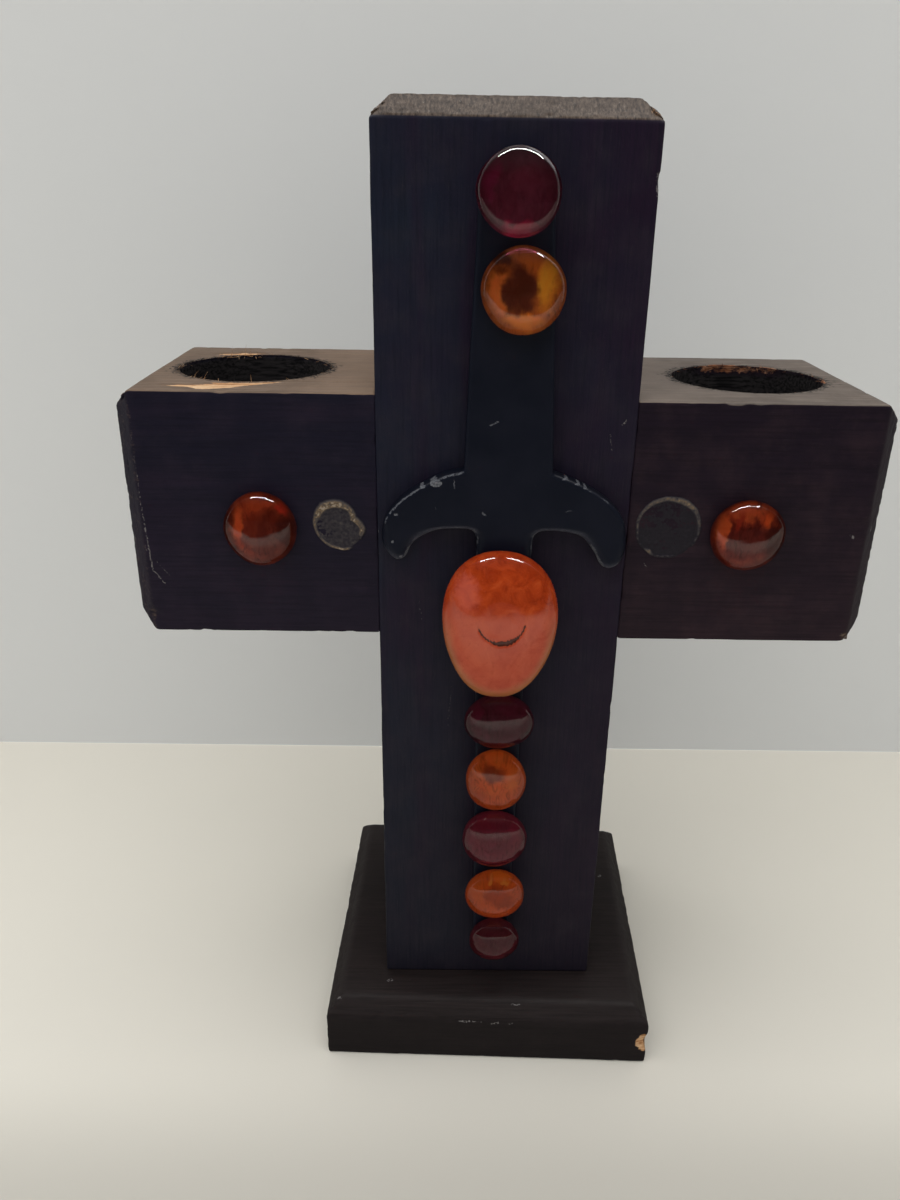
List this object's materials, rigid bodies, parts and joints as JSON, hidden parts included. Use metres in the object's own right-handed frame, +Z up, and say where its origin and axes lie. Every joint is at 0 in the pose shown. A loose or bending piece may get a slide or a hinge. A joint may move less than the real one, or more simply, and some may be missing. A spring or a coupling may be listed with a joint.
{
  "type": "standing cross candle holder",
  "caption": "Free-standing wooden cross on a square base, with a candle well in the top of each arm and a sword shape set with glass gems on its front.",
  "frame": {"origin": "underside of the base, directly below the post's axis", "axes": "+Z up, +X to the viewer's right when facing the front, the front faces -Y"},
  "size_m": [0.1928, 0.0955, 0.2662],
  "materials": {
    "black_paint_post": "matte black paint on square timber, thin, with grain and worn edges",
    "black_paint_arms": "matte black paint on square timber, raw wood at the rims of the candle wells",
    "black_paint_base": "matte black paint, slightly brown, worn at the front edge",
    "dowel_wood": "raw hardwood",
    "screw_steel": "zinc plated",
    "sword_paint": "smooth blue-black satin paint, scratched at the edges",
    "glass_garnet": "glossy dark garnet glass",
    "glass_amber": "glossy amber glass",
    "glass_orange": "glossy orange-red glass",
    "stone_orange": "glossy milky orange-red glass cabochon",
    "dried_glue": "hard dried clear glue, dusty"
  },
  "bodies": {
    "root": {"base": "black_paint_base", "post": "black_paint_post", "arm_left": "black_paint_arms", "arm_right": "black_paint_arms", "dowels_left": "dowel_wood", "dowels_right": "dowel_wood", "base_screws": "screw_steel", "sword": "sword_paint", "gem_pommel": "glass_garnet", "gem_grip": "glass_amber", "stone_oval": "stone_orange", "gem_blade_1": "glass_garnet", "gem_blade_2": "glass_orange", "gem_blade_3": "glass_garnet", "gem_blade_4": "glass_orange", "gem_blade_5": "glass_garnet", "gem_arm_left": "glass_orange", "gem_arm_right": "glass_orange", "gem_glue": "dried_glue", "glue_ring_left": "dried_glue", "glue_ring_right": "dried_glue"}
  },
  "joints": []
}
